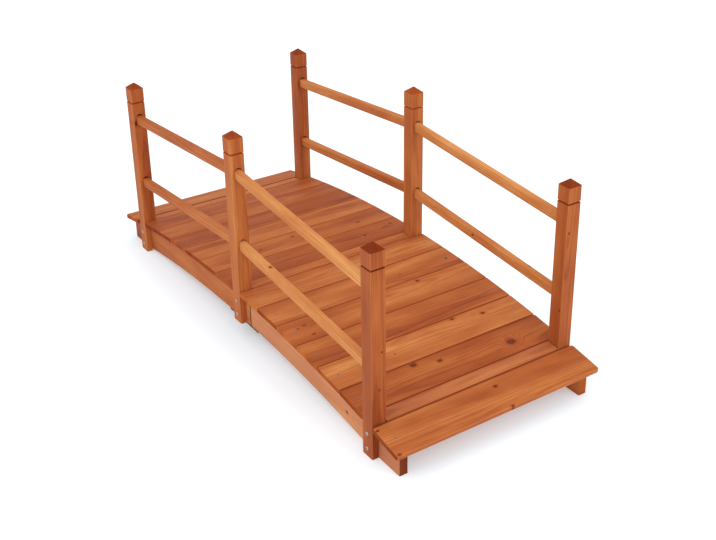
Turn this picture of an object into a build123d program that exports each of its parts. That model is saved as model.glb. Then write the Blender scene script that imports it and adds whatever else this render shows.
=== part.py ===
"""Arched timber garden bridge with two post-and-rail sides.

Millimetres, +Z up. The origin is on the ground under the middle of the deck, with +X along the walkway
towards the near end and +Y across it towards the right-hand railing.
"""
import os
from math import hypot

from build123d import *

# Posts
post_spacing = 628
width_over_posts = 606
post_size = 40
post_length = 550
post_lift = 50
post_edge_radius = 2.5
cap_height = 57
cap_rise = 15
cap_tip = 3
groove_depth = 3
groove_width = 5

# Side beams
beam_thickness = 22
beam_end_run = 82
foot_length = 75
lap_length = 80
lap_gap = 5
seat_crown = 136
end_seat_drop = 15

# Joint plates under the laps
plate_length = 156
plate_width = 21
plate_thickness = 5

# Ties between the beams, under the short slats
tie_width = 34
tie_depth = 34

# Rails
rail_width = 20
rail_depth = 27
rail_edge_radius = 5
upper_rail_drop = 113
lower_rail_height = 233
tenon_depth = 16
mortise_clearance = 0.5

# Deck boards
slats_per_bay = 6
slat_thickness = 12
slat_gap = 3
slat_edge_radius = 1.5
post_clearance = 2.5
short_slat_clearance = 1
end_board_width = 100
end_board_overhang = 3
end_board_corner_radius = 6
end_board_edge_radius = 3

overrun = 10

half_post = post_size / 2
outer_side = width_over_posts / 2
rail_side = outer_side - half_post
inner_side = outer_side - post_size
groove_height = post_length - cap_height
upper_rail_height = post_length - upper_rail_drop
bay_start = half_post + post_clearance
bay_end = post_spacing - half_post - post_clearance
slat_pitch = (bay_end - bay_start + slat_gap) / slats_per_bay
slat_width = slat_pitch - slat_gap
slat_length = width_over_posts
end_board_length = 2 * (outer_side + end_board_overhang)
beam_shoulder = post_spacing + half_post
beam_end = beam_shoulder + beam_end_run
foot_start = beam_end - foot_length

sides = {"left": -1, "right": 1}
ends = {"near": 1, "far": -1}
stations = {"near": 1, "middle": 0, "far": -1}
rail_heights = {"upper": upper_rail_height, "lower": lower_rail_height}


def seat_height(x):
    """Height of the beams' top edge, a shallow curve that falls by the posts' lift between posts."""
    return seat_crown - post_lift * (x / post_spacing) ** 2


# Places along the beam's top edge where one board's flat seat ends and the next begins
seat_breaks = [half_post]
seat_breaks += [bay_start - slat_gap / 2 + slat_pitch * count for count in range(1, slats_per_bay)]
seat_breaks += [post_spacing - half_post, beam_shoulder]
seat_points = [(x, seat_height(x)) for x in seat_breaks]
seat_points.append((beam_end, seat_height(beam_shoulder) - end_seat_drop))

# Circle of the arched underside
arch_radius = (foot_start**2 + post_lift**2) / (2 * post_lift)
arch_centre = post_lift - arch_radius


# Side view of a whole beam: flat seats on top, flat feet and an arch below
with BuildSketch() as beam_outline:
    with BuildLine():
        Polyline(
            (foot_start, 0),
            (beam_end, 0),
            *reversed(seat_points),
            *[(-x, z) for x, z in seat_points],
            (-beam_end, 0),
            (-foot_start, 0),
        )
        ThreePointArc((-foot_start, 0), (0, post_lift), (foot_start, 0))
    make_face()


def rail_plane(side, end, height):
    """Plane square across a rail at the middle of its bay, with its local y pointing up."""
    return Plane(
        origin=(end * post_spacing / 2, side * rail_side, height + post_lift / 2),
        x_dir=(0, 1, 0),
        z_dir=(post_spacing, 0, -end * post_lift),
    )


rail_slope_length = hypot(post_spacing, post_lift) / post_spacing
rail_half_length = (post_spacing / 2 - half_post + tenon_depth) * rail_slope_length


def write(piece, name):
    """Label a finished piece and save it under that name."""
    piece.part.label = name
    export_step(piece.part, f"parts/{name}.step")


os.makedirs("parts", exist_ok=True)

# Side beams, each in two halves that lap under the middle post
for side_name, side in sides.items():
    for end_name, end in ends.items():
        long_start = -lap_length / 2
        short_start = lap_length / 2 + lap_gap
        lap_is_outside = side == end
        layer_starts = (short_start, long_start) if lap_is_outside else (long_start, short_start)
        with BuildPart() as beam:
            for layer, start in enumerate(layer_starts):
                layer_side = inner_side + layer * beam_thickness / 2
                with BuildSketch(Plane.XZ.offset(-side * layer_side)):
                    add(beam_outline.sketch)
                    with Locations((end * (start + beam_end) / 2, 0)):
                        Rectangle(beam_end - start, 2 * seat_crown + overrun, mode=Mode.INTERSECT)
                extrude(amount=beam_thickness / 2, dir=(0, side, 0))
        write(beam, f"{end_name}_{side_name}_beam")

# Joint plates, bent to the arch and fixed under the laps
for side_name, side in sides.items():
    with BuildPart() as plate:
        with BuildSketch(Plane.XZ.offset(-side * (inner_side + beam_thickness / 2))):
            with Locations((0, arch_centre)):
                Circle(arch_radius)
                Circle(arch_radius - plate_thickness, mode=Mode.SUBTRACT)
            with Locations((0, post_lift)):
                Rectangle(plate_length, 2 * plate_thickness + overrun, mode=Mode.INTERSECT)
        extrude(amount=plate_width / 2, both=True)
    write(plate, f"{side_name}_joint_plate")

# Posts with grooved pyramid caps, notched over the beams, with round-headed mortises for the rails
cap_shoulder = post_length - cap_rise
half_silhouette = [
    (half_post, 0),
    (half_post, groove_height - groove_width / 2),
    (half_post - groove_depth, groove_height),
    (half_post, groove_height + groove_width / 2),
    (half_post, cap_shoulder),
    (cap_tip / 2, post_length),
]
silhouette = half_silhouette + [(-x, z) for x, z in reversed(half_silhouette)]

for side_name, side in sides.items():
    for station_name, station in stations.items():
        post_x = station * post_spacing
        base = 0 if station else post_lift
        foot = (post_x, side * rail_side, base)
        notch_slope = (seat_height(post_x + half_post) - seat_height(post_x - half_post)) / post_size
        notch_reach = half_post + overrun
        notch_middle = seat_height(abs(post_x) + half_post) + half_post * abs(notch_slope)
        with BuildPart() as post:
            with BuildSketch(Plane(foot)):
                RectangleRounded(post_size, post_size, post_edge_radius)
            extrude(amount=post_length)
            for across in ((1, 0, 0), (0, 1, 0)):
                normal = (across[1], -across[0], 0)
                with BuildSketch(Plane(foot, x_dir=across, z_dir=normal)):
                    with BuildLine():
                        Polyline(*silhouette, close=True)
                    make_face()
                extrude(amount=post_size, both=True, mode=Mode.INTERSECT)
            with BuildSketch(Plane.XZ.offset(-side * (inner_side - overrun))):
                with BuildLine():
                    Polyline(
                        (post_x - notch_reach, base - overrun),
                        (post_x + notch_reach, base - overrun),
                        (post_x + notch_reach, notch_middle + notch_slope * notch_reach),
                        (post_x - notch_reach, notch_middle - notch_slope * notch_reach),
                        close=True,
                    )
                make_face()
            extrude(amount=beam_thickness + overrun, dir=(0, side, 0), mode=Mode.SUBTRACT)
            bays = (station,) if station else ends.values()
            for end in bays:
                for height in rail_heights.values():
                    with BuildSketch(rail_plane(side, end, height)):
                        RectangleRounded(rail_width + 2 * mortise_clearance, rail_depth, rail_edge_radius)
                        with Locations((0, rail_depth / 2 - rail_edge_radius)):
                            Circle(rail_width / 2 + mortise_clearance)
                    extrude(amount=rail_half_length, both=True, mode=Mode.SUBTRACT)
        write(post, f"{station_name}_{side_name}_post")

# Rails, straight and round-edged, falling from the middle posts to the end posts
for side_name, side in sides.items():
    for end_name, end in ends.items():
        for height_name, height in rail_heights.items():
            with BuildPart() as rail:
                with BuildSketch(rail_plane(side, end, height)):
                    RectangleRounded(rail_width, rail_depth, rail_edge_radius)
                extrude(amount=rail_half_length, both=True)
            write(rail, f"{end_name}_{side_name}_{height_name}_rail")


def seat_plane(first, last, end):
    """Plane of the flat seat between two places on the near half, or mirrored to the far half."""
    rise = seat_height(last) - seat_height(first)
    return Plane(
        origin=(end * (first + last) / 2, 0, (seat_height(first) + seat_height(last)) / 2),
        x_dir=(last - first, 0, end * rise),
        z_dir=(-end * rise, 0, last - first),
    )


# Full slats, one on each flat seat of the bays
for end_name, end in ends.items():
    for count in range(slats_per_bay):
        with BuildPart() as slat:
            seat = seat_plane(seat_breaks[count], seat_breaks[count + 1], end)
            with BuildSketch(seat):
                Rectangle(slat_width, slat_length)
            extrude(amount=slat_thickness)
            top = slat.faces().sort_by(Axis(seat.origin, seat.z_dir))[-1]
            fillet(top.edges(), radius=slat_edge_radius)
        write(slat, f"{end_name}_slat_{count + 1}")

# Short slats between each pair of posts, carried by ties that join the two beams
for station_name, station in stations.items():
    if station:
        seat = seat_plane(post_spacing - half_post, beam_shoulder, station)
    else:
        seat = Plane((0, 0, seat_height(half_post)))
    with BuildPart() as tie:
        with BuildSketch(seat):
            Rectangle(tie_width, 2 * inner_side)
        extrude(amount=-tie_depth)
    write(tie, f"{station_name}_cross_tie")
    with BuildPart() as short_slat:
        with BuildSketch(seat):
            Rectangle(post_size - slat_gap, 2 * (inner_side - short_slat_clearance))
        extrude(amount=slat_thickness)
        top = short_slat.faces().sort_by(Axis(seat.origin, seat.z_dir))[-1]
        fillet(top.edges(), radius=slat_edge_radius)
    write(short_slat, f"{station_name}_short_slat")

# End boards, sloping down outside the end posts
for end_name, end in ends.items():
    seat = Plane(
        origin=(end * beam_shoulder, 0, seat_height(beam_shoulder)),
        x_dir=(beam_end_run, 0, -end * end_seat_drop),
        z_dir=(end * end_seat_drop, 0, beam_end_run),
    )
    with BuildPart() as end_board:
        with BuildSketch(seat):
            with Locations((end * (post_clearance + end_board_width / 2), 0)):
                RectangleRounded(end_board_width, end_board_length, end_board_corner_radius)
        extrude(amount=slat_thickness)
        top = end_board.faces().sort_by(Axis(seat.origin, seat.z_dir))[-1]
        fillet(top.edges(), radius=end_board_edge_radius)
    write(end_board, f"{end_name}_end_board")
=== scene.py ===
import math

import bpy
import numpy as np
from mathutils import Euler, Matrix, Vector


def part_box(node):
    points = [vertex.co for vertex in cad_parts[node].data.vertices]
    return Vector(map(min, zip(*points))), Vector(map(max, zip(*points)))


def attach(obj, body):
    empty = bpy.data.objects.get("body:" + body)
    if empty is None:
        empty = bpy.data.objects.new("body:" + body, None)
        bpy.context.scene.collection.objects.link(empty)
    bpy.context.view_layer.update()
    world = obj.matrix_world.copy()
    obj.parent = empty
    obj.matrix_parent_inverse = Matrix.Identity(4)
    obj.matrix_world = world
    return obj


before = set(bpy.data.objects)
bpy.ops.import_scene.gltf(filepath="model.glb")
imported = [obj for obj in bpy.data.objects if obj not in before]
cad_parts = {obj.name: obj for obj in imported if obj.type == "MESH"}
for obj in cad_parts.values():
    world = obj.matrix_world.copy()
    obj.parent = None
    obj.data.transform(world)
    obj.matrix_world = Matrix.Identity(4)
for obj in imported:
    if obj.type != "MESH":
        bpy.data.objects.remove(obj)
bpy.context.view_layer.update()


# Side beams: four arched fir boards, 22 mm thick, sawn to a long arc below and to short flat seats above.
# Each pair is half-lapped at the crown, and the whole bridge stands on the four flat feet at their ends.
# They are planed and then stained a reddish orange that lets the growth rings show through.
mm = 0.001
ring_width = 3.4 * mm        # plantation fir grows about 3 to 4 mm a year
ring_wobble = 0.9 * mm       # the fibres make a ring's edge uneven
fibre_width = 2.4 * mm       # single fibres are 0.04 mm, too fine to show, so bundles of them are drawn
band_width = 58 * mm         # heartwood and sapwood lie side by side in one board
blotch_width = 45 * mm       # patches where the stain sank in deeper
sway_width = 90 * mm         # slow bends of the log, which make the rings wander
sway_length = 420 * mm
sway_depth = 16 * mm
pith_dip, pith_swing = 0.012, 0.010      # radians that a log leans in its board, at most
noise_step = (2.37, 0.41, 0.0)           # metres from one board's part of the noises to the next
grain_relief = 0.5 * mm      # drawn deeper than planed wood has, so that it shows
arris_width = 1.6 * mm       # sanded edges, where the stain is thinner, drawn paler partly as a painted highlight
knot_squeeze = 0.72          # a knot is longer along the grain than across it

# Stained fir from pale sapwood to dark heartwood, a knot's core, and fir that took little stain.
fir_colours = ((0.0, "D9975A"), (0.25, "C37840"), (0.5, "B26131"), (0.75, "9D4D25"), (1.0, "83391A"))
knot_colour = "57210F"
thin_stain = "D9A88C"

smooth = {"interpolation_type": "SMOOTHSTEP"}


def linear(colour):
    """Turns an sRGB hex colour into the linear RGBA that Blender's sockets take."""
    srgb = np.array([int(colour[i:i + 2], 16) for i in (0, 2, 4)]) / 255
    rgb = np.where(srgb <= 0.04045, srgb / 12.92, ((srgb + 0.055) / 1.055) ** 2.4)
    return (*rgb.tolist(), 1.0)


def add_node(tree, kind, inputs, **settings):
    """Adds one node with its settings and links.

    Inputs go by name or by place: a node or a socket is linked, and a value is set.
    A Mix of colours takes its share at place 0 and the colours at 6 and 7, and gives output 2."""
    node = tree.nodes.new("ShaderNode" + kind)
    for key, value in settings.items():
        setattr(node, key, value)
    for key, value in inputs.items() if isinstance(inputs, dict) else enumerate(inputs):
        if isinstance(value, bpy.types.Node):
            value = value.outputs[0]
        if isinstance(value, bpy.types.NodeSocket):
            tree.links.new(value, node.inputs[key])
        else:
            node.inputs[key].default_value = value
    return node


def new_material(name):
    """A material with an empty node tree and its output."""
    material = bpy.data.materials.new(name)
    material.use_nodes = True
    tree = material.node_tree
    tree.nodes.clear()
    return material, tree, add_node(tree, "OutputMaterial", ())


def stained_fir(node, grain, heartwood, heart, seed, lean=0.0, size=None, knots=(), drift=0.0, foot=None,
                skew=0.0, wash=None, end_tint="E0C49A", painted_gap_shade=None, gap_side=0):
    """Stained, planed fir for one board, put on its CAD node.

    In the board's own frame a runs along the grain and u, v across it, from the board's centre.
    lean turns that frame with the board. heart is the place (u, v) of the pith line in mm, and skew turns it.
    ring = fract(distance from the pith line / ring width); the last third of a ring is dark latewood.
    depth of colour = heartwood + drift * a + bands + blotches + fibres + rings, read off fir_colours.
    foot says between which two places along the grain, in mm, the depth grows, and by how much: painted
    shade.
    A knot is (a, u, v, radius in mm, axis of its branch): a smooth hump in the rings and a dark core.
    wash is a thin colour over the stain and its share. end_tint is multiplied into the end grain.
    painted_gap_shade is painted shade where a gap beside the board falls dark:
    down both long sides, or only the one at gap_side's sign of u.
    The sanded edges are drawn paler, partly as a painted highlight.
    The eye gets soft streaks, darker end grain, a few knots, paler sanded edges and a low satin gloss."""
    turn = {"X": (0, lean, 0), "Y": (0, lean, -math.pi / 2), "Z": (0, math.pi / 2, 0)}[grain]
    low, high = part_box(node)
    centre = Euler(turn).to_matrix() @ ((low + high) / 2)
    material, tree, output = new_material("stained_fir_" + node)
    coord = add_node(tree, "TexCoord", ())
    board = add_node(tree, "Mapping", {"Vector": coord.outputs["Object"], "Location": -centre,
                                       "Rotation": turn})

    # the pith line runs beside the board, leaning a little, and seed picks the board's own part of the noises
    log_turn = (0, pith_dip * math.sin(seed), pith_swing * math.cos(2 * seed) + skew)
    log = add_node(tree, "Mapping", {"Vector": board, "Rotation": log_turn,
                                     "Location": (0, -heart[0] * mm, -heart[1] * mm)})
    own = add_node(tree, "VectorMath", (log, [seed * step for step in noise_step]), operation="ADD")

    # four noises drawn out along the grain, each with its length, width and detail
    streaks = []
    for length, width, detail in ((sway_length, sway_width, 1.0),
                                  (13 * band_width, band_width, 1.0),
                                  (3 * blotch_width, blotch_width, 3.0),
                                  (70 * fibre_width, fibre_width, 3.0)):
        stretched = add_node(tree, "VectorMath", (own, (1 / length, 1 / width, 1 / width)),
                             operation="MULTIPLY")
        streaks.append(add_node(tree, "TexNoise", {"Vector": stretched, "Scale": 1.0, "Detail": detail,
                                                   "Roughness": 0.55}))
    sway, band, blotch, fibre = streaks
    rings = add_node(tree, "VectorMath", (sway.outputs["Color"], (0, sway_depth, sway_depth), log),
                     operation="MULTIPLY_ADD")

    # round a knot the rings rise in a hump and the wood is darker; the core is ragged, with a paler heart
    knot_core = knot_halo = None
    for a, u, v, radius, through in knots:
        radius *= mm
        flat = (knot_squeeze, 1, 0) if through == "v" else (knot_squeeze, 0, 1)
        off = add_node(tree, "VectorMath", (board, (a * mm, u * mm, v * mm)), operation="SUBTRACT")
        off = add_node(tree, "VectorMath", (off, flat), operation="MULTIPLY")
        reach = add_node(tree, "VectorMath", (off,), operation="LENGTH").outputs["Value"]
        ragged = add_node(tree, "Math", (fibre, 0.35 * radius, reach), operation="MULTIPLY_ADD")
        hump = add_node(tree, "MapRange", (reach, 0.0, 3.4 * radius, 1.3 * radius, 0.0), **smooth)
        lift = add_node(tree, "CombineXYZ", {"Z" if through == "v" else "Y": hump})
        rings = add_node(tree, "VectorMath", (rings, lift), operation="ADD")
        core = add_node(tree, "MapRange", (ragged, 0.85 * radius, 1.25 * radius, 1.0, 0.0), **smooth)
        heartlet = add_node(tree, "MapRange", (ragged, 0.2 * radius, 0.9 * radius, 0.55, 1.0), **smooth)
        core = add_node(tree, "Math", (core, heartlet), operation="MULTIPLY")
        halo = add_node(tree, "MapRange", (ragged, 0.9 * radius, 2.2 * radius, 1.0, 0.0), **smooth)
        if knot_core:
            core = add_node(tree, "Math", (knot_core, core), operation="MAXIMUM")
            halo = add_node(tree, "Math", (knot_halo, halo), operation="MAXIMUM")
        knot_core, knot_halo = core, halo

    # growth rings: pale early wood that darkens through the year and ends sharply
    spokes = add_node(tree, "VectorMath", (rings, (0, 1, 1)), operation="MULTIPLY")
    from_pith = add_node(tree, "VectorMath", (spokes,), operation="LENGTH").outputs["Value"]
    from_pith = add_node(tree, "Math", (fibre, ring_wobble, from_pith), operation="MULTIPLY_ADD")
    years = add_node(tree, "Math", (from_pith, ring_width), operation="DIVIDE")
    ring = add_node(tree, "Math", (years,), operation="FRACT")
    latewood = add_node(tree, "ValToRGB", (ring,))
    stops = latewood.color_ramp.elements
    stops[0].color, stops[1].color = (0.35, 0.35, 0.35, 1), (0.40, 0.40, 0.40, 1)
    for position, grey in ((0.12, 0.05), (0.55, 0.25), (0.80, 0.85), (0.92, 1.0)):
        stops.new(position).color = (grey, grey, grey, 1)

    # each layer's share of the depth, and its mean, which is taken off so that heartwood stays the mean
    layers = ((band, 0.85, 0.5), (blotch, 0.5, 0.5), (fibre, 0.5, 0.5), (latewood, 0.2, 0.4))
    level = heartwood - sum(share * mean for layer, share, mean in layers)
    place = add_node(tree, "SeparateXYZ", (board,))
    depth = add_node(tree, "Math", (place, drift, level), operation="MULTIPLY_ADD")
    if foot:
        start, full, deeper = foot
        growth = add_node(tree, "MapRange", (place, start * mm, full * mm, 0.0, deeper))
        depth = add_node(tree, "Math", (depth, growth), operation="ADD")
    for layer, share, mean in layers:
        depth = add_node(tree, "Math", (layer, share, depth), operation="MULTIPLY_ADD")
    if knots:
        depth = add_node(tree, "Math", (knot_halo, 0.3, depth), operation="MULTIPLY_ADD")
    stain = add_node(tree, "ValToRGB", (depth,))
    stops = stain.color_ramp.elements
    stops[0].color, stops[1].color = linear(fir_colours[0][1]), linear(fir_colours[-1][1])
    for position, tint in fir_colours[1:-1]:
        stops.new(position).color = linear(tint)
    colour = stain.outputs[0]
    if wash:
        tint, share = wash
        colour = add_node(tree, "Mix", {0: share, 6: colour, 7: linear(tint)}, data_type="RGBA").outputs[2]

    # sanded edges, drawn paler, partly as a painted highlight: the middle one of the three distances to the
    # board's faces is small there; a board with a gap on both sides gets painted gap shade down its long
    # sides instead
    if size:
        half = [length * mm / 2 for length in size]
        inside = add_node(tree, "VectorMath", (board,), operation="ABSOLUTE")
        inside = add_node(tree, "VectorMath", (half, inside), operation="SUBTRACT")
        to_end, to_side, to_face = add_node(tree, "SeparateXYZ", (inside,)).outputs
        nearer = add_node(tree, "Math", (to_side, to_face), operation="MINIMUM")
        farther = add_node(tree, "Math", (to_side, to_face), operation="MAXIMUM")
        farther = add_node(tree, "Math", (farther, to_end), operation="MINIMUM")
        arris = add_node(tree, "Math", (nearer, farther), operation="MAXIMUM")
        edges = []
        if gap_side or not painted_gap_shade:
            edges.append((arris, arris_width, 0.4, fir_colours[0][1]))
        if gap_side:
            to_gap = add_node(tree, "Math", (place.outputs["Y"], -gap_side, half[1]),
                              operation="MULTIPLY_ADD")
            edges.append((to_gap, 3 * arris_width, 0.9, painted_gap_shade))
        elif painted_gap_shade:
            edges.append((to_side, arris_width, 0.8, painted_gap_shade))
        for distance, width, share, tint in edges:
            edge = add_node(tree, "MapRange", (distance, 0.3 * width, width, share, 0.0), **smooth)
            colour = add_node(tree, "Mix", {0: edge, 6: colour, 7: linear(tint)}, data_type="RGBA").outputs[2]
    if knots:
        core = add_node(tree, "Math", (knot_core, 0.85), operation="MULTIPLY")
        colour = add_node(tree, "Mix", {0: core, 6: colour, 7: linear(knot_colour)},
                          data_type="RGBA").outputs[2]

    # end grain drinks more stain, comes out darker and redder, and stays matt
    along_axis = {"X": (1, 0, 0), "Y": (0, 1, 0), "Z": (0, 0, 1)}[grain]
    facing = add_node(tree, "VectorMath", (coord.outputs["Normal"], along_axis),
                      operation="DOT_PRODUCT").outputs["Value"]
    facing = add_node(tree, "Math", (facing,), operation="ABSOLUTE")
    end_grain = add_node(tree, "MapRange", (facing, 0.5, 0.85, 0.0, 1.0), **smooth)
    colour = add_node(tree, "Mix", {0: end_grain, 6: colour, 7: linear(end_tint)}, data_type="RGBA",
                      blend_type="MULTIPLY").outputs[2]

    # hard latewood and fibre bundles stand proud of the soft wood, and darker wood is a little glossier
    height = add_node(tree, "Math", (fibre, 1.2, latewood), operation="MULTIPLY_ADD")
    bump = add_node(tree, "Bump", {"Strength": 0.22, "Distance": grain_relief, "Height": height})
    gloss = add_node(tree, "MapRange", (depth, 0.0, 1.0, 0.68, 0.54))
    gloss = add_node(tree, "Math", (end_grain, 0.25, gloss), operation="MULTIPLY_ADD")
    shader = add_node(tree, "BsdfPrincipled", {"Base Color": colour, "Roughness": gloss, "Normal": bump,
                                               "Specular IOR Level": 0.1})
    tree.links.new(shader.outputs[0], output.inputs["Surface"])
    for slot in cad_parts[node].material_slots:
        slot.material = material


# the near left beam grows darker past its post, under the end board: painted shade
stained_fir("near_left_beam", "X", 0.33, (18, 40), 1, knots=((170, 0, -20, 4, "u"),), drift=-0.3,
            foot=(260, 300, 0.45), wash=(thin_stain, 0.2), end_tint="A98468")
stained_fir("far_left_beam", "X", 0.62, (-24, -82), 2, drift=-0.68)
stained_fir("near_right_beam", "X", 0.58, (-20, 64), 3)
stained_fir("far_right_beam", "X", 0.5, (26, 76), 4)


# Joint plates: a flat steel strap screwed under each half-lap, where the two beams of a side meet.
# Cut from 5 mm strip, bent to the arch and coated black; its edge shows as a dark line below the joint.
# Four countersunk screws hold each strap, and a block of the same black fills the open end of each lap as
# painted shade.
def coated_steel():
    """Black powder coat on steel strip: near black and satin, with the fine orange peel of baked paint."""
    peel_width, peel_depth = 1.5 * mm, 0.1 * mm
    dust_width = 20 * mm
    material, tree, output = new_material("black_coated_steel")
    spot = add_node(tree, "TexCoord", ()).outputs["Object"]
    peel = add_node(tree, "TexNoise", {"Vector": spot, "Scale": 1 / peel_width, "Detail": 2.0})
    dust = add_node(tree, "TexNoise", {"Vector": spot, "Scale": 1 / dust_width, "Detail": 4.0})
    colour = add_node(tree, "Mix", {0: dust, 6: linear("060607"), 7: linear("121214")},
                      data_type="RGBA").outputs[2]
    gloss = add_node(tree, "MapRange", (dust, 0.3, 0.7, 0.46, 0.62))
    bump = add_node(tree, "Bump", {"Strength": 0.2, "Distance": peel_depth, "Height": peel})
    shader = add_node(tree, "BsdfPrincipled", {"Base Color": colour, "Roughness": gloss, "Normal": bump,
                                               "Specular IOR Level": 0.2})
    tree.links.new(shader.outputs[0], output.inputs["Surface"])
    return material


def turned(name, rings, drive, places, outward, material):
    """Lathe forms, one at each place, in one mesh of closed forms.

    Ring i has radius r, height h and share w of the drive shape, so its point at angle t is
    place + h * outward + r * drive(t)**w * (e cos t + f sin t), with e and f square to outward.
    The first and the last ring are single points, the poles."""
    sides = 24
    crisp_edge = math.radians(34)
    places = np.array(places, float)
    outward = np.array(outward, float) / np.linalg.norm(outward, axis=1, keepdims=True)
    e = np.cross(outward, (1.0, 0.0, 0.0))
    e /= np.linalg.norm(e, axis=1, keepdims=True)
    f = np.cross(outward, e)
    rings = np.array(rings, float)
    r, h = rings[:, 0] * mm, rings[:, 1] * mm
    t = np.arange(sides) * 2 * math.pi / sides
    spread = r[1:-1, None] * drive(t)[None, :] ** rings[1:-1, 2, None]
    circle = e[:, None, :] * np.cos(t)[None, :, None] + f[:, None, :] * np.sin(t)[None, :, None]
    wall = (places[:, None, None, :] + h[None, 1:-1, None, None] * outward[:, None, None, :]
            + spread[None, :, :, None] * circle[:, None, :, :])
    poles = places[:, None, :] + h[[0, -1]][None, :, None] * outward[:, None, :]
    count, layers = len(places), len(rings) - 2
    points = np.concatenate([wall.reshape(count, -1, 3), poles], axis=1)

    # quads between neighbouring rings, and a fan of triangles at each pole
    i, j = np.meshgrid(np.arange(layers - 1) * sides, np.arange(sides), indexing="ij")
    k = (j + 1) % sides
    quads = np.stack([i + j, i + k, i + sides + k, i + sides + j], -1).reshape(-1, 4)
    j, k = j[0], k[0]
    last = (layers - 1) * sides
    bottom = np.stack([np.full(sides, layers * sides), k, j], -1)
    top = np.stack([np.full(sides, layers * sides + 1), last + j, last + k], -1)
    start = np.arange(count)[:, None, None] * points.shape[1]
    faces = (quads[None] + start).reshape(-1, 4).tolist()
    faces += (np.concatenate([bottom, top])[None] + start).reshape(-1, 3).tolist()
    mesh = bpy.data.meshes.new(name)
    mesh.from_pydata(points.reshape(-1, 3), [], faces)
    mesh.polygons.foreach_set("use_smooth", np.ones(len(faces), bool))
    mesh.set_sharp_from_angle(angle=crisp_edge)
    mesh.materials.append(material)
    piece = bpy.data.objects.new(name, mesh)
    bpy.context.scene.collection.objects.link(piece)
    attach(piece, "root")


def cross_recess(t):
    """Radius of a cross-shaped screwdriver recess at angle t: 1 on four arms, short between them."""
    between = 0.38
    return between + (1 - between) * np.abs(np.cos(2 * t)) ** 3


# (radius, height, share of the recess), from the hidden pole under the head to the bottom of the recess
screw_head = ((0, -0.6, 0), (3.0, -0.5, 0), (3.4, 0.02, 0), (3.2, 0.25, 0), (2.6, 0.42, 0), (2.3, 0.46, 0),
              (2.0, 0.43, 1), (1.6, 0.1, 1), (0, 0.06, 0))
black_steel = coated_steel()
arch_radius = 4315 * mm      # of the beams' underside
plate_thickness = 5 * mm
plate_screw_reach = np.array((-62, -32, 32, 62)) * mm
arch_fall = arch_radius - np.sqrt(arch_radius ** 2 - plate_screw_reach ** 2)
plate_places, plate_outward = [], []
for side in ("left", "right"):
    plate = side + "_joint_plate"
    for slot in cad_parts[plate].material_slots:
        slot.material = black_steel
    low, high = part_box(plate)
    middle_y = (low.y + high.y) / 2
    for x, fall in zip(plate_screw_reach, arch_fall):
        plate_places.append((x, middle_y, high.z - plate_thickness - fall))
        plate_outward.append((-x / arch_radius, 0, -1))
turned("plate_screws", screw_head, cross_recess, plate_places, plate_outward, black_steel)

# painted shade in each lap's open end: a black box, centre + sign * half size
# with the eight signs of its corners, set back a little all round
lap_end, lap_gap = 40, 5     # from the middle post's line to the lap's end, and the gap left open there
beam_inside, beam_line, beam_outside = 263, 274, 285      # a beam's faces and middle, across the bridge
lap_shade_low, lap_shade_high = 49.9, 135.3
lap_shade_setback, lap_shade_play = 0.2, 0.05      # behind the beam's face, and at each side in the gap
lap_shade_x = lap_end + lap_gap / 2
lap_shade_z = (lap_shade_low + lap_shade_high) / 2
outer_y = (beam_line + beam_outside - lap_shade_setback) / 2
inner_y = (beam_line + beam_inside + lap_shade_setback) / 2
lap_shade_centres = np.array([(lap_shade_x, -outer_y, lap_shade_z), (-lap_shade_x, -inner_y, lap_shade_z),
                         (-lap_shade_x, outer_y, lap_shade_z), (lap_shade_x, inner_y, lap_shade_z)]) * mm
lap_shade_half = np.array((lap_gap / 2 - lap_shade_play, outer_y - beam_line, lap_shade_z - lap_shade_low)) * mm
signs = np.array([(-1, -1, -1), (1, -1, -1), (1, 1, -1), (-1, 1, -1),
                  (-1, -1, 1), (1, -1, 1), (1, 1, 1), (-1, 1, 1)])
box_faces = np.array([(0, 3, 2, 1), (4, 5, 6, 7), (0, 1, 5, 4), (1, 2, 6, 5), (2, 3, 7, 6), (3, 0, 4, 7)])
lap_shade_points = (lap_shade_centres[:, None, :] + signs[None] * lap_shade_half).reshape(-1, 3)
lap_shade_faces = (box_faces[None] + len(signs) * np.arange(len(lap_shade_centres))[:, None, None]).reshape(-1, 4)
lap_shade_mesh = bpy.data.meshes.new("lap_gap_shade")
lap_shade_mesh.from_pydata(lap_shade_points, [], lap_shade_faces.tolist())
lap_shade_mesh.materials.append(black_steel)
lap_shade_object = bpy.data.objects.new("lap_gap_shade", lap_shade_mesh)
bpy.context.scene.collection.objects.link(lap_shade_object)
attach(lap_shade_object, "root")


# Cross ties: three square fir bars between the two sides, under the short deck boards beside the posts.
# They hold the sides apart and carry those boards, which can't reach the beams past the posts.
# Planed and stained with the beams; their ends are drawn up by the upper post bolts.
tie_size = (526, 34, 34)
stained_fir("near_cross_tie", "Y", 0.6, (30, 22), 5, size=tie_size)
stained_fir("middle_cross_tie", "Y", 0.5, (-28, 26), 6, size=tie_size)
stained_fir("far_cross_tie", "Y", 0.65, (24, -30), 7, size=tie_size)


# Posts: six square fir posts, 40 mm thick, with a grooved neck and a low four-sided point sawn on the top.
# Each is notched at the foot to sit over its beam and mortised for the two rails.
# Two bolts go through each foot and its beam, so the heads show on the outer face.
post_size = (550, 40, 40)
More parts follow.
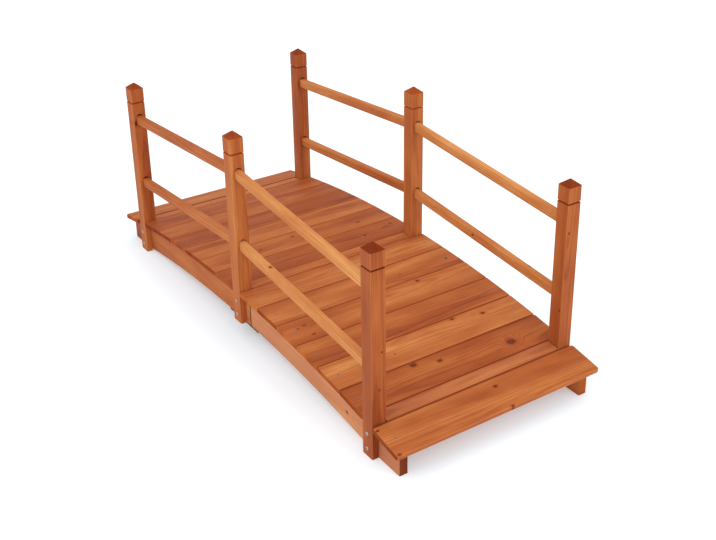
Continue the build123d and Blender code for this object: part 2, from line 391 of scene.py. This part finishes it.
# depth of colour, pith, seed, knots and end tint
post_boards = {
    "near_left": (0.68, (4, 62), 91, ((8, 9, 0, 2.0, "v"), (-90, 0, 0, 2.0, "v")), "B78054"),
    "near_right": (0.56, (-8, 58), 92, ((-73, 0, -13, 2.2, "u"), (141, -12, 0, 2.5, "v")), "BC8A64"),
    "middle_left": (0.56, (10, 64), 53, (), "D5AA9A"),
    "middle_right": (0.47, (-6, 60), 94, (), "E5B9A6"),
    "far_left": (0.59, (8, 56), 15, ((155, -13, 0, 5, "v"),), "D9B498"),
    "far_right": (0.75, (-10, 60), 76, (), "D9B498"),
}
for post, (heartwood, heart, seed, knots, end_tint) in post_boards.items():
    stained_fir(post + "_post", "Z", heartwood, heart, seed, size=post_size, knots=knots, end_tint=end_tint)


def zinc_plate(name, blue, straw, spent):
    """Zinc plating on steel: grey metal with a faint blue and straw cast and a mottle where it has dulled."""
    mottle_width, cast_width = 1.2 * mm, 6 * mm
    material, tree, output = new_material(name)
    spot = add_node(tree, "TexCoord", ()).outputs["Object"]
    mottle = add_node(tree, "TexNoise", {"Vector": spot, "Scale": 1 / mottle_width, "Detail": 3.0})
    cast = add_node(tree, "TexNoise", {"Vector": spot, "Scale": 1 / cast_width, "Detail": 1.0})
    hue = add_node(tree, "Mix", {0: cast, 6: linear(blue), 7: linear(straw)}, data_type="RGBA").outputs[2]
    shade = add_node(tree, "MapRange", (mottle, 0.3, 0.7, 0.0, 0.35))
    colour = add_node(tree, "Mix", {0: shade, 6: hue, 7: linear(spent)}, data_type="RGBA").outputs[2]
    gloss = add_node(tree, "MapRange", (mottle, 0.3, 0.7, 0.34, 0.5))
    shader = add_node(tree, "BsdfPrincipled", {"Base Color": colour, "Roughness": gloss, "Metallic": 1.0})
    tree.links.new(shader.outputs[0], output.inputs["Surface"])
    return material


def hexagon(t):
    """Radius of a hexagon at angle t, as a share of the radius to its corners."""
    return math.cos(math.pi / 6) / np.cos(np.mod(t, math.pi / 3) - math.pi / 6)


zinc = zinc_plate("zinc_plated_steel", "B4B8BA", "BDB4A2", "6C7074")
post_spacing = 628
post_lift = 50               # the middle posts stand this much higher
post_outside = 303           # the posts' outer faces, from the middle of the bridge
bolt_heights = (22, 63)      # above the foot of the post
head_places, nut_places = [], []
for x, foot in ((-post_spacing, 0), (0, post_lift), (post_spacing, 0)):
    for side in (-1, 1):
        head_places += [(x * mm, side * post_outside * mm, (foot + z) * mm) for z in bolt_heights]
        nut_places.append((x * mm, side * beam_inside * mm, (foot + bolt_heights[0]) * mm))
head_outward = np.sign(np.array(head_places)) * (0, 1, 0)
nut_outward = -np.sign(np.array(nut_places)) * (0, 1, 0)

# (radius, height, share of the hexagon): a round head with a hexagon socket
bolt_head = ((0, -0.6, 0), (4.9, -0.5, 0), (5.0, 0.5, 0), (4.7, 1.4, 0), (4.0, 2.2, 0), (3.2, 2.7, 0),
             (2.7, 2.85, 0), (2.4, 2.8, 1), (2.3, 0.9, 1), (0, 0.6, 0))
turned("post_bolts", bolt_head, hexagon, head_places, head_outward, zinc)

# washer, nut and end of the bolt, on the inner face of the beam; the upper bolts end inside the cross ties
nut_stack = ((0, -0.4, 0), (6.4, -0.3, 0), (6.5, 0.2, 0), (6.5, 1.2, 0), (6.3, 1.4, 0), (5.2, 1.42, 0),
             (5.7, 1.8, 1), (5.77, 2.0, 1), (5.77, 5.9, 1), (5.6, 6.2, 1), (4.9, 6.5, 0), (3.2, 6.5, 0),
             (3.0, 6.2, 0), (3.0, 8.8, 0), (2.4, 9.4, 0), (0, 9.4, 0))
turned("bolt_nuts", nut_stack, hexagon, nut_places, nut_outward, zinc)


# Rails: eight fir bars with rounded edges, two to a bay, running parallel to the rise of the bridge.
# Their ends are plain tenons pushed into the posts' mortises, with a small gap above each.
# They come from paler boards than the posts, and the four near ones are the palest.
rail_lean = math.atan2(post_lift, post_spacing)
rail_size = (620, 20, 27)
# depth of colour of the upper and the lower rail
rail_boards = {"near_left": (0.22, 0.18), "near_right": (0.22, 0.13),
               "far_left": (0.38, 0.4), "far_right": (0.37, 0.30)}
rail_knots = {"far_left_lower": ((61, 7, 13, 2.5, "v"),),
              "near_left_lower": ((-150, 0, 13, 4, "v"),),
              "near_right_lower": ((-28, -10, 2, 3, "u"), (184, 8, 13, 4, "v"))}
first_rail_seed = 21
for number, (bay, pair) in enumerate(rail_boards.items()):
    lean = -rail_lean if bay.startswith("near") else rail_lean
    for level, heartwood in zip(("upper", "lower"), pair):
        seed = first_rail_seed + 2 * number + (level == "lower")
        heart = (34 + 5 * math.sin(3 * seed), 26 * math.cos(2 * seed))
        stained_fir(f"{bay}_{level}_rail", "X", heartwood, heart, seed, lean, rail_size,
                    rail_knots.get(f"{bay}_{level}", ()))


# Deck: twelve full-width fir boards and three short ones that fit between the posts, all 12 mm thick.
# Each full board lies on its own flat seat with a thin gap to the next, so the deck bends in facets.
# One countersunk screw at each end of a full board goes down into the beam.
slat_size = (606, 95, 12)
short_size = (524, 37, 12)
slat_lean = (1.0, 2.4, 3.9, 5.3, 6.7, 8.1)      # degrees, from the middle to the end
short_lean = math.radians(9.0)
painted_gap_shade = "BA6233"         # painted shade down the long sides, where the gaps between the boards fall dark
pale_end, plain_end, dark_end = "FFF4D6", "D9B695", "C89A76"      # how pale or dark each board's end grain is drawn
# depth of colour, pith, end tint and knots (a, u, radius) of each full board, from the middle to the end
slat_boards = {
    "near": ((0.46, (8, -62), pale_end, ()),
             (0.47, (-30, -55), dark_end, ((270, -8, 3), (109, -11, 2))),
             (0.58, (22, -48), pale_end, ((130, 35, 4), (-241, 16, 3), (-262, 10, 2), (-239, -29, 3))),
             (0.62, (-10, -70), pale_end, ()),
             (0.41, (36, -58), plain_end, ((100, 40, 4), (187, 21, 5), (-111, -4, 2))),
             (0.67, (-26, -66), plain_end, ((175, -9, 9), (-29, 20, 5), (-96, 38, 6)))),
    "far": ((0.64, (14, -60), pale_end, ((159, -2, 3.5), (266, 21, 3))),
            (0.51, (-34, -52), dark_end, ((-15, 22, 4), (9, -7, 4), (193, -11, 4), (-133, 1, 3))),
            (0.47, (28, -66), dark_end, ()),
            (0.68, (-18, -58), pale_end, ((80, 12, 3),)),
            (0.65, (10, -72), dark_end, ()),
            (0.64, (-30, -50), dark_end, ((-120, -14, 3),))),
}
first_slat_seed = {"near": 41, "far": 51}
screw_places, screw_outward = [], []
for half, boards in slat_boards.items():
    way = 1 if half == "near" else -1
    for number, (heartwood, heart, end_tint, knots) in enumerate(boards):
        name = f"{half}_slat_{number + 1}"
        lean = math.radians(slat_lean[number])
        seed = first_slat_seed[half] + number
        knots = [(a, u, 0, radius, "v") for a, u, radius in knots]
        stained_fir(name, "Y", heartwood, heart, seed, -way * lean, slat_size, knots, end_tint=end_tint,
                    painted_gap_shade=painted_gap_shade)
        low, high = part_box(name)
        normal = Vector((way * math.sin(lean), 0, math.cos(lean)))
        top = (low + high) / 2 + normal * slat_size[2] * mm / 2
        for side in (-1, 1):
            screw_places.append((top.x, side * beam_line * mm, top.z))
            screw_outward.append(normal)
stained_fir("near_short_slat", "Y", 0.56, (12, -44), 61, -short_lean, short_size, wash=(thin_stain, 0.07),
            painted_gap_shade=painted_gap_shade)
stained_fir("middle_short_slat", "Y", 0.45, (-14, -52), 62, 0.0, short_size, painted_gap_shade=painted_gap_shade)
stained_fir("far_short_slat", "Y", 0.36, (16, -40), 63, short_lean, short_size, painted_gap_shade=painted_gap_shade)
dull_zinc = zinc_plate("dulled_zinc_plate", "82807C", "8A7C6C", "5A5048")
turned("deck_screws", screw_head, cross_recess, screw_places, screw_outward, dull_zinc)


# End boards: one wide fir board at each end, sloping down and outwards, with rounded corners and edges.
# It lies on the ends of the beams and overhangs them a little, so the beam ends show below it.
# One screw at each end holds it to the beam.
board_lean = math.radians(10.4)
board_size = (612, 100, 12)
board_screw_line = 276
stained_fir("near_end_board", "Y", 0.54, (-40, -58), 71, -board_lean, board_size,
            ((33, 24, 0, 4, "v"), (28, -48, 0, 3, "v"), (-300, 37, 0, 3, "v"), (-297, -46, 0, 3, "v")),
            skew=0.05, end_tint="C1A08C")
# the far end board's edge toward the deck carries a wide strip of painted shade, where the gap beside it
# falls dark
stained_fir("far_end_board", "Y", 0.47, (34, -62), 72, board_lean, board_size, ((-150, -20, 0, 5, "v"),),
            painted_gap_shade="742C14", gap_side=-1)
board_places, board_outward = [], []
for end, way in (("near", 1), ("far", -1)):
    low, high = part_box(end + "_end_board")
    normal = Vector((way * math.sin(board_lean), 0, math.cos(board_lean)))
    top = (low + high) / 2 + normal * board_size[2] * mm / 2
    board_places += [(top.x, side * board_screw_line * mm, top.z) for side in (-1, 1)]
    board_outward += [normal, normal]
turned("end_board_screws", screw_head, cross_recess, board_places, board_outward, dull_zinc)


# Floor and light: a light table of matt white sheet under the bridge, faintly lit from below,
# with a bright even studio round it. One large soft lamp hangs high over the left side,
# and another beyond the near end.
floor_half = 30.0
corners = np.array([(-1, -1, 0), (1, -1, 0), (1, 1, 0), (-1, 1, 0)]) * floor_half
floor_mesh = bpy.data.meshes.new("paper_floor")
floor_mesh.from_pydata(corners, [], [(0, 1, 2, 3)])

# Matt white paper: a nearly even cool white with no gloss and a faint tooth.
tooth_width = 40 * mm        # real tooth is under 1 mm, too fine to show, so it is drawn coarser
paper, tree, output = new_material("matt_white_paper")
spot = add_node(tree, "TexCoord", ()).outputs["Object"]
tooth = add_node(tree, "TexNoise", {"Vector": spot, "Scale": 1 / tooth_width, "Detail": 3.0})
colour = add_node(tree, "Mix", {0: tooth, 6: linear("DFEAF1"), 7: linear("E3ECF2")},
                  data_type="RGBA").outputs[2]
shader = add_node(tree, "BsdfPrincipled", {"Base Color": colour, "Roughness": 0.95, "Specular IOR Level": 0.1,
                                           "Emission Color": (0.93, 0.97, 1, 1), "Emission Strength": 0.31})
tree.links.new(shader.outputs[0], output.inputs["Surface"])
floor_mesh.materials.append(paper)
floor = bpy.data.objects.new("paper_floor", floor_mesh)
bpy.context.scene.collection.objects.link(floor)

studio = bpy.data.worlds.new("white_studio")
studio.use_nodes = True
studio.node_tree.nodes["Background"].inputs["Color"].default_value = (1, 1, 1, 1)
studio.node_tree.nodes["Background"].inputs["Strength"].default_value = 1.0
bpy.context.scene.world = studio
bpy.context.scene.view_settings.view_transform = "Standard"
lamp_aim = Vector((0, 0, 0.2))
for name, place, width, power in (("key_softbox", (0.6, -2.8, 3.4), 2.4, 26),
                                  ("right_softbox", (3.4, 0.4, 2.6), 2.0, 24)):
    lamp = bpy.data.lights.new(name, "AREA")
    lamp.size = width
    lamp.energy = power
    softbox = bpy.data.objects.new(name, lamp)
    bpy.context.scene.collection.objects.link(softbox)
    softbox.location = place
    softbox.rotation_euler = (lamp_aim - Vector(place)).to_track_quat("-Z", "Y").to_euler()


# Camera: stands in front of the near end, to its left, and looks down on the bridge from standing height.
# Its axes are back, right and up, and the eye is given along them from the origin of the bridge.
azimuth, elevation, roll = (math.radians(angle) for angle in (56.8, 25.07, -0.92))
eye_back, eye_right, eye_up = 3.2203, 0.0729, 0.3036
sensor_width = 36.0
image_width, focal_length = 716, 1122.7      # pixels
back = Vector((math.sin(azimuth) * math.cos(elevation), -math.cos(azimuth) * math.cos(elevation),
               math.sin(elevation)))
right = Vector((0, 0, 1)).cross(back).normalized()
up = back.cross(right)
right, up = (right * math.cos(roll) + up * math.sin(roll),
             up * math.cos(roll) - right * math.sin(roll))
lens = bpy.data.cameras.new("camera")
lens.sensor_width = sensor_width
lens.lens = sensor_width * focal_length / image_width
lens.shift_y = -0.1
camera = bpy.data.objects.new("camera", lens)
bpy.context.scene.collection.objects.link(camera)
camera.matrix_world = Matrix((right, up, back)).transposed().to_4x4()
camera.matrix_world.translation = back * eye_back + right * eye_right + up * eye_up
bpy.context.scene.camera = camera
